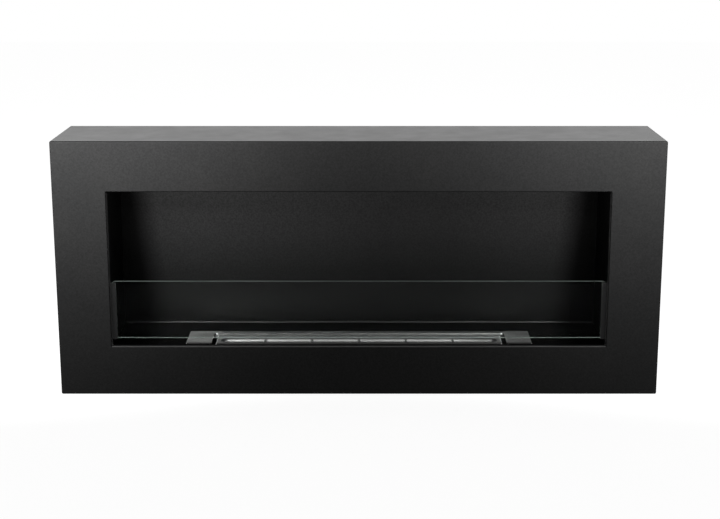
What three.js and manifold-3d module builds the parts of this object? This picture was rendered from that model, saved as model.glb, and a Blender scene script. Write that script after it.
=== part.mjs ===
// Wall-hung bioethanol fireplace: a folded black steel casing round a shallow open firebox, a glass
// wind-guard that stands in two side channels, and a stainless burner that drops into the firebox floor.
// Millimetres. +Z is up, the front faces -Y, and the origin is the middle of the base.
import * as THREE from 'three';
import { mergeVertices } from 'three/addons/utils/BufferGeometryUtils.js';
import Module from 'manifold-3d';

// ---------------------------------------------------------------------------------------------
// Driving dimensions
// ---------------------------------------------------------------------------------------------

// Casing: front face, top, bottom and sides folded from one sheet
const caseWidth = 900;
const caseHeight = 386;
const caseDepth = 159; // from the front face to the wall
const caseSheet = 1.5;
const caseFoldRadius = 2; // outside radius of the folds at the front and rear edges
const caseCornerRadius = 2.5; // outside radius of the four edges that run from front to back
const rearFlangeWidth = 16; // return flange that carries the rear panel

// Opening in the front face
const sideBorder = 79; // width of the front face beside the opening
const topBorder = 75;
const bottomBorder = 75;
const openingFlange = 12; // how far the return flange reaches back from the front face
const openingFoldRadius = 2;
const openingCornerRadius = 1;

// Play between sheets that lie on each other
const jointGap = 0.2;

// Rear panel, its screws and its keyholes
const panelSheet = 1.5;
const panelInset = 1; // how far the panel's edge stays inside the casing's outline
const screwsAlongWidth = 3;
const screwShankRadius = 1.95;
const screwHeadRadius = 3.7;
const screwHeadDepth = 1.3;
const screwLength = 9;
const screwTip = 2;
const screwPlay = 0.2;
const screwHoleOvershoot = 1; // how far a screw's hole runs out past the panel's face
const keyholeInset = 150; // from the side of the casing to the keyhole's middle
const keyholeDrop = 60; // from the top of the casing to the keyhole's entry
const keyholeEntryRadius = 6;
const keyholeNeckRadius = 3;
const keyholeNeckRise = 13; // from the entry's centre up to the end of the neck
const hangerWidth = 70;
const hangerHeight = 56;
const hangerSheet = 2;
const hangerCornerRadius = 6;

// Firebox
const fireboxRearSpace = 22; // from the wall to the face of the firebox's back wall
const fireboxSheet = 1.5;
const fireboxFoldRadius = 2.5; // inside radius of its folds
const fireboxFrontLap = 8; // how much of the opening's flange its front edges cover
const sideRearFlange = 14; // flange of a side wall behind the back wall
const sideFoldRadius = 0.5; // inside radius of that flange's fold

// Glass and its channels
const glassThickness = 4;
const glassHeight = 88;
const glassSill = 9.5; // from the opening's lower edge up to the glass
const glassSidePlay = 1.3; // from the glass's edge to the channel's web
const glassFacePlay = 0.4; // from the glass's face to a channel's leg
const glassCornerRadius = 5;
const glassEdgeBevel = 0.4;
const channelSheet = 1.2;
const channelFoldRadius = 0.8; // inside radius of its folds
const channelLeg = 8.3; // from the web's outer face to the tip of a leg
const channelDrop = 3; // how far the glass stands out above the channels

// Burner surround: two wide end plates joined by a strip behind the burner
const burnerSheet = 1.2;
const surroundSideRoom = 109; // from the side of the opening to an end of the surround
const surroundFront = 19.5; // from the front face to its front edge
const surroundDepth = 65;
const surroundEnd = 38; // length of an end plate
const surroundStrip = 11.5; // width of the strip behind the burner
const surroundLip = 8; // depth of the lip folded down along the strip
const surroundFoldRadius = 1.3; // inside radius of that fold
const surroundLipEndGap = 2.4; // between an end of the lip and an end plate

// Burner cover
const burnerEndGap = 7; // between the cover and an end plate
const burnerRearGap = 9.3; // between the cover and the strip's lip
const burnerFrontSetback = 0.4; // how far the cover's front lies behind the surround's front edge
const coverSkirt = 10;
const coverFoldRadius = 2; // outside radius of the cover's outer edge
const coverCornerRadius = 3;
const slotSetback = 15.4; // from the cover's front to the middle of the flame slot
const slotWidth = 12;
const slotEndMargin = 11; // from the cover's end to the end of the slot
const slotRollRadius = 5; // outside radius of the rim that rolls down into the slot
const slotCollar = 8; // depth of the rim below the cover's top
const bridgeCount = 5;
const bridgeWidth = 3;
const bridgeEndInset = 2.6; // from the cover's end to where the even spacing of the bridges starts
const bridgeThickness = 1.4;
const bridgeRecess = 1; // from the cover's top down to a bridge's top
const bridgePlay = 0.15;

// Fuel tank, ceramic block and straps
const tankPlay = 0.3; // between the tank and what lies against it
const tankDepth = 48;
const tankFoldRadius = 3; // outside radius of the tank's lower edge
const tankCornerRadius = 3;
const wickPlay = 1;
const wickHeight = 33;
const wickEdgeRadius = 3;
const floorCutoutFront = 2; // from the cut-out's front edge to the surround's front edge
const floorCutoutSide = 4; // how far the cut-out runs under each end plate
const floorCutoutCorner = 3;
const floorCutoutPlay = 0.3; // between the cut-out and the fold of the strip's lip
const strapSheet = 1.5;
const strapWidth = 30;
const strapSpacing = 240;
const strapFlange = 11;
const strapPlay = 1; // between a strap's upright and the burner
const strapFoldRadius = 1;
const strapStepDepth = 9; // from the floor's underside down to the strap's rear step

// Fineness of curves
const foldSteps = 4;
const cornerSteps = 4;
const slotSteps = 8;
const lathSteps = 24;
const mergeDistance = 1e-4; // vertices nearer than this are one

// ---------------------------------------------------------------------------------------------
// Planes and boxes that several pieces share
// ---------------------------------------------------------------------------------------------

const frontY = -caseDepth / 2;
const backY = caseDepth / 2;
const flangeRearY = backY - panelSheet - jointGap;
const casing = { left: -caseWidth / 2, right: caseWidth / 2, low: 0, high: caseHeight };
const opening = {
  left: casing.left + sideBorder,
  right: casing.right - sideBorder,
  low: casing.low + bottomBorder,
  high: casing.high - topBorder,
};

// The firebox lies outside the opening's flange, so its faces are set out from the opening
const fireboxInside = grow(opening, caseSheet + jointGap);
const floorTopZ = fireboxInside.low;
const fireboxFrontY = frontY + openingFlange - fireboxFrontLap;
const fireboxBackY = backY - fireboxRearSpace;

// Glass
const channelFrontY = frontY + openingFlange + jointGap;
const channelWebX = fireboxInside.right - jointGap;
const glassFrontY = channelFrontY + channelSheet + glassFacePlay;
const glassLowZ = opening.low + glassSill;
const glassHalfWidth = channelWebX - channelSheet - glassSidePlay;

// Burner
const burnerTopZ = floorTopZ + jointGap + burnerSheet;
const surround = {
  left: opening.left + surroundSideRoom,
  right: opening.right - surroundSideRoom,
  low: frontY + surroundFront,
  high: frontY + surroundFront + surroundDepth,
};
const aperture = {
  left: surround.left + surroundEnd,
  right: surround.right - surroundEnd,
  low: surround.low,
  high: surround.high - surroundStrip,
};
const cover = {
  left: aperture.left + burnerEndGap,
  right: aperture.right - burnerEndGap,
  low: aperture.low + burnerFrontSetback,
  high: aperture.high - burnerRearGap,
};
const slotCentreY = cover.low + slotSetback;
const slotHole = {
  left: cover.left + slotEndMargin,
  right: cover.right - slotEndMargin,
  low: slotCentreY - slotWidth / 2,
  high: slotCentreY + slotWidth / 2,
};
const tank = grow(cover, -burnerSheet - tankPlay);
const tankTopZ = burnerTopZ - burnerSheet - tankPlay;
const tankLowZ = tankTopZ - tankDepth;
const floorCutout = {
  left: aperture.left - floorCutoutSide,
  right: aperture.right + floorCutoutSide,
  low: surround.low - floorCutoutFront,
  high: aperture.high + burnerSheet + surroundFoldRadius + floorCutoutPlay,
};

// ---------------------------------------------------------------------------------------------
// Materials
// ---------------------------------------------------------------------------------------------

const blackPaint = { color: 0x232324, roughness: 0.5, metalness: 0.1 };
const fireboxPaint = { color: 0x1c1c1d, roughness: 0.6, metalness: 0.1 };
const brushedSteel = { color: 0xa6a6a3, roughness: 0.35, metalness: 1 };
const zincSteel = { color: 0x8e8f8f, roughness: 0.45, metalness: 0.9 };
const clearGlass = { color: 0xdce8e2, roughness: 0.03, metalness: 0, transparent: true, opacity: 0.3 };
const ceramicFibre = { color: 0xe4e1d8, roughness: 0.95, metalness: 0 };

// ---------------------------------------------------------------------------------------------
// Outlines
// ---------------------------------------------------------------------------------------------

/** A box made larger on every side, or smaller where the distance is negative. */
function grow(box, distance) {
  return {
    left: box.left - distance,
    right: box.right + distance,
    low: box.low - distance,
    high: box.high + distance,
  };
}

/** Points of an arc from one angle to another, in degrees, both ends included. */
function arcPoints(centre, radius, startAngle, endAngle, steps) {
  const points = [];
  for (let step = 0; step <= steps; step += 1) {
    const angle = THREE.MathUtils.degToRad(startAngle + ((endAngle - startAngle) * step) / steps);
    points.push(new THREE.Vector2(centre.x + radius * Math.cos(angle), centre.y + radius * Math.sin(angle)));
  }
  return points;
}

/** A rounded rectangle as points, anticlockwise from its lower right corner. */
function boxOutline(box, radius, steps = cornerSteps) {
  const corners = [
    { x: box.right - radius, y: box.low + radius, angle: -90 },
    { x: box.right - radius, y: box.high - radius, angle: 0 },
    { x: box.left + radius, y: box.high - radius, angle: 90 },
    { x: box.left + radius, y: box.low + radius, angle: 180 },
  ];
  return corners.flatMap((corner) => arcPoints(corner, radius, corner.angle, corner.angle + 90, steps));
}

/** One face of a folded sheet, set off to the right of its path, with every fold rounded. */
function foldedFace(path, offset, sheet, insideRadius) {
  const points = [];
  path.forEach((point, index) => {
    const before = index > 0 ? point.clone().sub(path[index - 1]).normalize() : null;
    const after = index < path.length - 1 ? path[index + 1].clone().sub(point).normalize() : null;
    if (!before || !after) {
      const along = before ?? after;
      points.push(new THREE.Vector2(point.x + along.y * offset, point.y - along.x * offset));
      return;
    }
    const turn = Math.atan2(before.cross(after), before.dot(after));
    const onOutside = turn > 0 === offset > 0;
    const radius = insideRadius + (onOutside ? sheet : 0);
    const mitre = offset / (1 + before.dot(after));
    const corner = new THREE.Vector2(
      point.x + (before.y + after.y) * mitre,
      point.y - (before.x + after.x) * mitre,
    );
    const start = corner.clone().addScaledVector(before, -radius * Math.tan(Math.abs(turn) / 2));
    const side = Math.sign(turn);
    const centre = new THREE.Vector2(start.x - before.y * radius * side, start.y + before.x * radius * side);
    const startAngle = THREE.MathUtils.radToDeg(Math.atan2(start.y - centre.y, start.x - centre.x));
    const endAngle = startAngle + THREE.MathUtils.radToDeg(turn);
    points.push(...arcPoints(centre, radius, startAngle, endAngle, foldSteps));
  });
  return points;
}

/** The section of a folded sheet: the path is one face, and the sheet lies to its right. */
function foldedSheet(path, sheet, insideRadius) {
  const points = path.map(([x, y]) => new THREE.Vector2(x, y));
  const near = foldedFace(points, 0, sheet, insideRadius);
  const far = foldedFace(points, sheet, sheet, insideRadius);
  return new THREE.Shape([...near, ...far.reverse()]);
}

/** A keyhole: a round entry with a narrow neck that rises from it. */
function keyholePath(x, z) {
  const neckAngle = THREE.MathUtils.radToDeg(Math.acos(keyholeNeckRadius / keyholeEntryRadius));
  const neckTop = { x, y: z + keyholeNeckRise - keyholeNeckRadius };
  return new THREE.Path([
    ...arcPoints({ x, y: z }, keyholeEntryRadius, 180 - neckAngle, 360 + neckAngle, lathSteps),
    ...arcPoints(neckTop, keyholeNeckRadius, 0, 180, slotSteps),
  ]);
}

// ---------------------------------------------------------------------------------------------
// Solids
// ---------------------------------------------------------------------------------------------

/** Six times the signed volume of a closed indexed mesh: negative where its faces point inwards. */
function signedVolume(geometry) {
  const position = geometry.getAttribute('position');
  const index = geometry.getIndex();
  const [a, b, c] = [new THREE.Vector3(), new THREE.Vector3(), new THREE.Vector3()];
  let sum = 0;
  for (let corner = 0; corner < index.count; corner += 3) {
    a.fromBufferAttribute(position, index.getX(corner));
    b.fromBufferAttribute(position, index.getX(corner + 1));
    c.fromBufferAttribute(position, index.getX(corner + 2));
    sum += a.dot(b.cross(c));
  }
  return sum;
}

/** The closed mesh with shared vertices and no empty faces, its faces pointing out. */
function closedSolid(source) {
  source.deleteAttribute('normal');
  source.deleteAttribute('uv');
  const geometry = mergeVertices(source, mergeDistance);
  const corners = Array.from(geometry.getIndex().array);
  const kept = [];
  for (let corner = 0; corner < corners.length; corner += 3) {
    const face = corners.slice(corner, corner + 3);
    if (new Set(face).size === 3) kept.push(...face);
  }
  geometry.setIndex(kept);
  if (signedVolume(geometry) < 0) {
    geometry.setIndex(Array.from(geometry.getIndex().array).reverse());
  }
  return geometry;
}

// Where an outline's own x and y go when it is extruded along a world axis, and the direction it grows
const extrudeBases = {
  x: [new THREE.Vector3(0, 1, 0), new THREE.Vector3(0, 0, 1), new THREE.Vector3(1, 0, 0)],
  y: [new THREE.Vector3(1, 0, 0), new THREE.Vector3(0, 0, 1), new THREE.Vector3(0, -1, 0)],
  z: [new THREE.Vector3(1, 0, 0), new THREE.Vector3(0, 1, 0), new THREE.Vector3(0, 0, 1)],
};

/** An outline extruded between two places on a world axis. */
function extrude(shape, axis, from, to, bevel = 0) {
  const geometry = new THREE.ExtrudeGeometry(shape, {
    depth: to - from - 2 * bevel,
    bevelEnabled: bevel > 0,
    bevelSize: bevel,
    bevelThickness: bevel,
    bevelOffset: -bevel,
    bevelSegments: 1,
  });
  geometry.translate(0, 0, bevel);
  geometry.applyMatrix4(new THREE.Matrix4().makeBasis(...extrudeBases[axis]));
  const shift = { x: [from, 0, 0], y: [0, to, 0], z: [0, 0, from] }[axis];
  geometry.translate(...shift);
  return closedSolid(geometry);
}

/** Rings of equally many points, skinned one to the next; a loop of rings closes on itself. */
function loft(rings, isLoop) {
  const count = rings[0].length;
  const positions = rings.flat().flatMap((point) => point.toArray());
  const faces = [];
  const spans = isLoop ? rings.length : rings.length - 1;
  for (let ring = 0; ring < spans; ring += 1) {
    const here = ring * count;
    const next = ((ring + 1) % rings.length) * count;
    for (let point = 0; point < count; point += 1) {
      const beside = (point + 1) % count;
      faces.push(here + point, here + beside, next + beside);
      faces.push(here + point, next + beside, next + point);
    }
  }
  if (!isLoop) {
    const last = (rings.length - 1) * count;
    for (let point = 1; point < count - 1; point += 1) {
      faces.push(0, point + 1, point);
      faces.push(last, last + point, last + point + 1);
    }
  }
  const geometry = new THREE.BufferGeometry();
  geometry.setAttribute('position', new THREE.Float32BufferAttribute(positions, 3));
  geometry.setIndex(faces);
  return closedSolid(geometry);
}

/** A solid of revolution about the Y axis, moved to where its axis runs. */
function turned(profile, x, y, z) {
  const geometry = new THREE.LatheGeometry(profile.map(([r, h]) => new THREE.Vector2(r, h)), lathSteps);
  return closedSolid(geometry).translate(x, y, z);
}

const manifoldLibrary = await Module();
manifoldLibrary.setup();

function toManifold(geometry) {
  return new manifoldLibrary.Manifold(
    new manifoldLibrary.Mesh({
      numProp: 3,
      vertProperties: Float32Array.from(geometry.getAttribute('position').array),
      triVerts: Uint32Array.from(geometry.getIndex().array),
    }),
  );
}

function fromManifold(solid) {
  const mesh = solid.getMesh();
  const geometry = new THREE.BufferGeometry();
  geometry.setAttribute('position', new THREE.Float32BufferAttribute(mesh.vertProperties, 3));
  geometry.setIndex(Array.from(mesh.triVerts));
  return geometry;
}

function cut(geometry, cutters) {
  const solid = cutters.reduce((rest, cutter) => rest.subtract(toManifold(cutter)), toManifold(geometry));
  return fromManifold(solid);
}

function join(...geometries) {
  const [first, ...others] = geometries.map(toManifold);
  return fromManifold(others.reduce((sum, other) => sum.add(other), first));
}

// ---------------------------------------------------------------------------------------------
// Assembly
// ---------------------------------------------------------------------------------------------

const fireplace = new THREE.Group();

function addPiece(name, geometry, finish) {
  const mesh = new THREE.Mesh(geometry, new THREE.MeshStandardMaterial(finish));
  mesh.name = name;
  fireplace.add(mesh);
}

// ---------------------------------------------------------------------------------------------
// Casing
// ---------------------------------------------------------------------------------------------

/** Places of the rear panel's screws: rows along the top and bottom, and one halfway up each side. */
function rearScrewPlaces() {
  const rowX = casing.right - rearFlangeWidth / 2 - caseSheet;
  const rowLowZ = casing.low + rearFlangeWidth / 2 + caseSheet;
  const rowHighZ = casing.high - rearFlangeWidth / 2 - caseSheet;
  const places = [];
  for (let column = 0; column < screwsAlongWidth; column += 1) {
    const x = -rowX + (2 * rowX * column) / (screwsAlongWidth - 1);
    places.push({ x, z: rowLowZ }, { x, z: rowHighZ });
  }
  const middleZ = (casing.low + casing.high) / 2;
  places.push({ x: -rowX, z: middleZ }, { x: rowX, z: middleZ });
  return places;
}

/** The countersunk hole for one screw, through the rear panel and the casing's flange. */
function screwHole({ x, z }) {
  const profile = [
    [0, screwHoleOvershoot],
    [screwHeadRadius + screwPlay, screwHoleOvershoot],
    [screwHeadRadius + screwPlay, 0],
    [screwShankRadius + screwPlay, -screwHeadDepth],
    [screwShankRadius + screwPlay, -screwLength],
    [0, -screwLength],
  ];
  return turned(profile, x, backY, z);
}

/**
 * The casing's section, from the inner edge of the rear flange round the outside to the end of the
 * opening's flange, as rings. `depth` is how far below the outer skin the section runs.
 */
function casingSkin(depth) {
  const foldRadius = caseFoldRadius - depth;
  const openingRadius = openingFoldRadius - depth;
  const ring = (box, cornerRadius, y) =>
    boxOutline(box, cornerRadius).map((point) => new THREE.Vector3(point.x, y, point.y));
  const outer = (inset, y) => {
    const cornerRadius = Math.max(caseCornerRadius - inset, openingCornerRadius);
    return ring(grow(casing, -inset), cornerRadius, y);
  };
  const inner = (outset, y) => ring(grow(opening, outset), openingCornerRadius + outset, y);
  const rearFold = arcPoints(
    { x: caseFoldRadius, y: flangeRearY - caseFoldRadius }, foldRadius, 90, 180, foldSteps);
  const frontFold = arcPoints(
    { x: caseFoldRadius, y: frontY + caseFoldRadius }, foldRadius, 180, 270, foldSteps);
  const openingFold = arcPoints(
    { x: openingFoldRadius, y: frontY + openingFoldRadius }, openingRadius, 270, 180, foldSteps);
  return [
    outer(rearFlangeWidth, flangeRearY - depth),
    ...rearFold.map((point) => outer(point.x, point.y)),
    ...frontFold.map((point) => outer(point.x, point.y)),
    ...openingFold.map((point) => inner(point.x, point.y)),
    inner(depth, frontY + openingFlange),
  ];
}

function buildCasing() {
  const shell = loft([...casingSkin(0), ...casingSkin(caseSheet).reverse()], true);
  addPiece('front_casing', cut(shell, rearScrewPlaces().map(screwHole)), blackPaint);
}

// ---------------------------------------------------------------------------------------------
// Rear panel
// ---------------------------------------------------------------------------------------------

const keyholes = [-1, 1].map((side) => ({
  x: side * (casing.right - keyholeInset),
  z: casing.high - keyholeDrop,
  label: side < 0 ? 'left' : 'right',
}));

function buildRearPanel() {
  const outline = new THREE.Shape(boxOutline(grow(casing, -panelInset), caseCornerRadius));
  outline.holes = keyholes.map(({ x, z }) => keyholePath(x, z));
  const sheet = extrude(outline, 'y', backY - panelSheet, backY);
  addPiece('rear_panel', cut(sheet, rearScrewPlaces().map(screwHole)), zincSteel);
}

/** A plate that doubles the rear panel round each keyhole. */
function buildHangerPlates() {
  const rearY = backY - panelSheet - jointGap;
  keyholes.forEach(({ x, z, label }) => {
    const box = {
      left: x - hangerWidth / 2,
      right: x + hangerWidth / 2,
      low: z - hangerHeight / 2,
      high: z + hangerHeight / 2,
    };
    const outline = new THREE.Shape(boxOutline(box, hangerCornerRadius));
    outline.holes = [keyholePath(x, z)];
    addPiece(`hanger_plate_${label}`, extrude(outline, 'y', rearY - hangerSheet, rearY), zincSteel);
  });
}

function buildRearScrews() {
  const profile = [
    [0, 0],
    [screwHeadRadius, 0],
    [screwShankRadius, -screwHeadDepth],
    [screwShankRadius, screwTip - screwLength],
    [screwShankRadius / 2, -screwLength],
    [0, -screwLength],
  ];
  rearScrewPlaces().forEach(({ x, z }, index) => {
    addPiece(`rear_screw_${index + 1}`, turned(profile, x, backY, z), zincSteel);
  });
}

// ---------------------------------------------------------------------------------------------
// Firebox
// ---------------------------------------------------------------------------------------------

/** Floor, back wall and ceiling, folded from one sheet, with the burner's cut-out in the floor. */
function buildFireboxShell() {
  const path = [
    [fireboxFrontY, fireboxInside.low],
    [fireboxBackY, fireboxInside.low],
    [fireboxBackY, fireboxInside.high],
    [fireboxFrontY, fireboxInside.high],
  ];
  const halfLength = fireboxInside.right - jointGap;
  const section = foldedSheet(path, fireboxSheet, fireboxFoldRadius);
  const shell = extrude(section, 'x', -halfLength, halfLength);
  const cutoutShape = new THREE.Shape(boxOutline(floorCutout, floorCutoutCorner));
  const cutter = extrude(cutoutShape, 'z', floorTopZ - 2 * fireboxSheet, floorTopZ + fireboxSheet);
  addPiece('firebox_shell', cut(shell, [cutter]), fireboxPaint);
}

/** A side wall: it closes the end of the shell and turns in behind the back wall. */
function buildFireboxSides() {
  const rearY = fireboxBackY + fireboxSheet + jointGap;
  const lowZ = fireboxInside.low - fireboxSheet;
  const highZ = fireboxInside.high + fireboxSheet;
  const path = [
    [fireboxInside.right - sideRearFlange, rearY],
    [fireboxInside.right, rearY],
    [fireboxInside.right, fireboxFrontY],
  ];
  const section = foldedSheet(path.reverse(), fireboxSheet, sideFoldRadius);
  const right = extrude(section, 'z', lowZ, highZ);
  const left = mirrored(right);
  addPiece('firebox_side_right', right, fireboxPaint);
  addPiece('firebox_side_left', left, fireboxPaint);
}

/** The same solid on the other side of the middle plane. */
function mirrored(geometry) {
  return closedSolid(geometry.clone().scale(-1, 1, 1));
}

// ---------------------------------------------------------------------------------------------
// Glass
// ---------------------------------------------------------------------------------------------

function buildGlass() {
  const box = {
    left: -glassHalfWidth,
    right: glassHalfWidth,
    low: glassLowZ,
    high: glassLowZ + glassHeight,
  };
  const outline = new THREE.Shape(boxOutline(box, glassCornerRadius));
  const pane = extrude(outline, 'y', glassFrontY, glassFrontY + glassThickness, glassEdgeBevel);
  addPiece('glass_pane', pane, clearGlass);
}

/** A U-shaped upright against each side wall, closed at the foot, where the glass stands. */
function buildGlassChannels() {
  const rearY = channelFrontY + 2 * channelSheet + 2 * glassFacePlay + glassThickness;
  const tipX = channelWebX - channelLeg;
  const topZ = glassLowZ + glassHeight - channelDrop;
  const footTopZ = glassLowZ - jointGap;
  const lowZ = footTopZ - channelSheet;
  const path = [
    [tipX, channelFrontY],
    [channelWebX, channelFrontY],
    [channelWebX, rearY],
    [tipX, rearY],
  ];
  const section = foldedSheet(path.reverse(), channelSheet, channelFoldRadius);
  const upright = extrude(section, 'z', lowZ, topZ);
  const foot = {
    left: tipX,
    right: channelWebX - channelSheet / 2,
    low: channelFrontY + channelSheet / 2,
    high: rearY - channelSheet / 2,
  };
  const corners = [
    new THREE.Vector2(foot.left, foot.low),
    new THREE.Vector2(foot.right, foot.low),
    new THREE.Vector2(foot.right, foot.high),
    new THREE.Vector2(foot.left, foot.high),
  ];
  const right = join(upright, extrude(new THREE.Shape(corners), 'z', lowZ, footTopZ));
  addPiece('glass_channel_right', right, blackPaint);
  addPiece('glass_channel_left', mirrored(right), blackPaint);
}

// ---------------------------------------------------------------------------------------------
// Burner
// ---------------------------------------------------------------------------------------------

/** Two end plates and a rear strip in one sheet, whose inner edge is folded down as a lip. */
function buildSurround() {
  const lowZ = burnerTopZ - burnerSheet;
  const stripFold = surroundFoldRadius + burnerSheet;
  const plate = new THREE.Shape([
    new THREE.Vector2(surround.left, surround.low),
    new THREE.Vector2(aperture.left, surround.low),
    new THREE.Vector2(aperture.left, aperture.high + stripFold),
    new THREE.Vector2(aperture.right, aperture.high + stripFold),
    new THREE.Vector2(aperture.right, surround.low),
    new THREE.Vector2(surround.right, surround.low),
    new THREE.Vector2(surround.right, surround.high),
    new THREE.Vector2(surround.left, surround.high),
  ]);
  const lipPath = [
    [surround.high, burnerTopZ],
    [aperture.high, burnerTopZ],
    [aperture.high, burnerTopZ - surroundLip],
  ];
  const lip = foldedSheet(lipPath.reverse(), burnerSheet, surroundFoldRadius);
  const flatPart = extrude(plate, 'z', lowZ, burnerTopZ);
  const lipPart = extrude(lip, 'x', aperture.left + surroundLipEndGap, aperture.right - surroundLipEndGap);
  addPiece('burner_surround', join(flatPart, lipPart), brushedSteel);
}

/** The cover's skin from the foot of its skirt to the foot of the slot's rim, as rings. */
function coverSkin(depth) {
  const ring = (box, radius, z) =>
    boxOutline(box, radius, slotSteps).map((point) => new THREE.Vector3(point.x, point.y, z));
  const outer = (inset, z) => ring(grow(cover, -inset), coverCornerRadius - inset, z);
  const inner = (outset, z) => ring(grow(slotHole, outset), slotWidth / 2 + outset, z);
  const edge = arcPoints(
    { x: coverFoldRadius, y: burnerTopZ - coverFoldRadius }, coverFoldRadius - depth, 180, 90, foldSteps);
  const roll = arcPoints(
    { x: slotRollRadius, y: burnerTopZ - slotRollRadius }, slotRollRadius - depth, 90, 180, 2 * foldSteps);
  return [
    outer(depth, burnerTopZ - coverSkirt),
    ...edge.map((point) => outer(point.x, point.y)),
    ...roll.map((point) => inner(point.x, point.y)),
    inner(depth, burnerTopZ - slotCollar),
  ];
}

function buildCover() {
  const cap = loft([...coverSkin(0), ...coverSkin(burnerSheet).reverse()], true);
  addPiece('burner_cover', cap, brushedSteel);
}

/** How far from the slot's centre line the rolled rim is, at some depth below the cover's top. */
function rollReach(depthBelowTop) {
  const rise = slotRollRadius - depthBelowTop;
  return slotWidth / 2 + slotRollRadius - Math.sqrt(slotRollRadius ** 2 - rise ** 2);
}

/** Flat bridges that tie the slot's two rims together, evenly along the cover. */
function buildBridges() {
  const topZ = burnerTopZ - bridgeRecess;
  const lowZ = topZ - bridgeThickness;
  const topReach = rollReach(bridgeRecess) - bridgePlay;
  const lowReach = rollReach(bridgeRecess + bridgeThickness) - bridgePlay;
  const section = new THREE.Shape([
    new THREE.Vector2(slotCentreY - lowReach, lowZ),
    new THREE.Vector2(slotCentreY + lowReach, lowZ),
    new THREE.Vector2(slotCentreY + topReach, topZ),
    new THREE.Vector2(slotCentreY - topReach, topZ),
  ]);
  const firstX = cover.left + bridgeEndInset;
  const pitch = (cover.right - bridgeEndInset - firstX) / (bridgeCount + 1);
  for (let bridge = 1; bridge <= bridgeCount; bridge += 1) {
    const x = firstX + bridge * pitch;
    const bar = extrude(section, 'x', x - bridgeWidth / 2, x + bridgeWidth / 2);
    addPiece(`slot_bridge_${bridge}`, bar, brushedSteel);
  }
}

/** The open fuel tank under the cover. */
function buildTank() {
  const ring = (inset, z) =>
    boxOutline(grow(tank, -inset), Math.max(tankCornerRadius - inset, burnerSheet))
      .map((point) => new THREE.Vector3(point.x, point.y, z));
  const skin = (depth) => [
    ...arcPoints(
      { x: tankFoldRadius, y: tankLowZ + tankFoldRadius }, tankFoldRadius - depth, 270, 180, foldSteps,
    ).map((point) => ring(point.x, point.y)),
    ring(depth, tankTopZ),
  ];
  addPiece('fuel_tank', loft([...skin(0), ...skin(burnerSheet).reverse()], false), brushedSteel);
}

/** The block of ceramic fibre that soaks up the fuel. */
function buildWick() {
  const box = grow(tank, -burnerSheet - wickPlay);
  const lowZ = tankLowZ + burnerSheet + tankPlay;
  const ring = (inset, z) =>
    boxOutline(grow(box, -inset), tankCornerRadius).map((point) => new THREE.Vector3(point.x, point.y, z));
  const lowEdge = arcPoints(
    { x: wickEdgeRadius, y: lowZ + wickEdgeRadius }, wickEdgeRadius, 270, 180, foldSteps);
  const highEdge = arcPoints(
    { x: wickEdgeRadius, y: lowZ + wickHeight - wickEdgeRadius }, wickEdgeRadius, 180, 90, foldSteps);
  const rings = [...lowEdge, ...highEdge].map((point) => ring(point.x, point.y));
  addPiece('ceramic_wick', loft(rings, false), ceramicFibre);
}

/** Straps under the floor, on which the tank stands; their rear step clears the surround's lip. */
function buildStraps() {
  const hangZ = fireboxInside.low - fireboxSheet - jointGap;
  const floorZ = tankLowZ - jointGap;
  const stepZ = hangZ - strapStepDepth;
  const frontUprightY = cover.low - strapPlay;
  const rearUprightY = cover.high + strapPlay;
  const outerRearY = floorCutout.high + strapSheet + strapPlay;
  const path = [
    [frontUprightY - strapFlange, hangZ],
    [frontUprightY, hangZ],
    [frontUprightY, floorZ],
    [rearUprightY, floorZ],
    [rearUprightY, stepZ],
    [outerRearY, stepZ],
    [outerRearY, hangZ],
    [outerRearY + strapFlange, hangZ],
  ];
  const section = foldedSheet(path, strapSheet, strapFoldRadius);
  [-1, 1].forEach((side) => {
    const x = (side * strapSpacing) / 2;
    const strap = extrude(section, 'x', x - strapWidth / 2, x + strapWidth / 2);
    addPiece(`tank_strap_${side < 0 ? 'left' : 'right'}`, strap, zincSteel);
  });
}

buildCasing();
buildRearPanel();
buildHangerPlates();
buildRearScrews();
buildFireboxShell();
buildFireboxSides();
buildGlass();
buildGlassChannels();
buildSurround();
buildCover();
buildBridges();
buildTank();
buildWick();
buildStraps();

export default fireplace;
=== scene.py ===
# Wall-hung bioethanol fireplace: a black steel casing round an open firebox, a glass wind-guard in
# two side channels and a brushed stainless burner. Metres, +Z up, the front faces -Y.
import math
import random

import bmesh
import bpy
from mathutils import Matrix, Vector


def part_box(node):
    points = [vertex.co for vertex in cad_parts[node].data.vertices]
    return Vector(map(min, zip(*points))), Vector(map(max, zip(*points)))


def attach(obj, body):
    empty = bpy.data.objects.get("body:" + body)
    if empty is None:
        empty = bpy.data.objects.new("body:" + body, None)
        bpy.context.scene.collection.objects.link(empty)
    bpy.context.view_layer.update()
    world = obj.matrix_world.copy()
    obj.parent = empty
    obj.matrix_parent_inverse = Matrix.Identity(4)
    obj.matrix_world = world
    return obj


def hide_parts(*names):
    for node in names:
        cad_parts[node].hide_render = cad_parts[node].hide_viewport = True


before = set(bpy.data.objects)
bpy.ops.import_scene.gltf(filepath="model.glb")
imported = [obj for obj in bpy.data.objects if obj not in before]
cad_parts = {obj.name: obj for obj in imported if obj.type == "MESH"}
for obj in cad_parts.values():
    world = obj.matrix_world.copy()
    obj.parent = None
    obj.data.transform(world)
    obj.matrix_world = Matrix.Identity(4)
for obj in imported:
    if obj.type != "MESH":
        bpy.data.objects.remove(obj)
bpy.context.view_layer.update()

MM = 0.001
SEED = 7

# ---------------------------------------------------------------------------------------------
# Camera: fitted to the casing's and the opening's corners in the photograph
# ---------------------------------------------------------------------------------------------
IMAGE_WIDTH = 720
SENSOR_WIDTH = 36.0
FOCAL_LENGTH_PIXELS = 1466.5
OPTICAL_AXIS_COLUMN = 367.6
CAMERA_PLACE = Vector((0.01383, -2.19113, 0.71311))
CAMERA_PITCH_DOWN = math.radians(13.4146)

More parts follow.
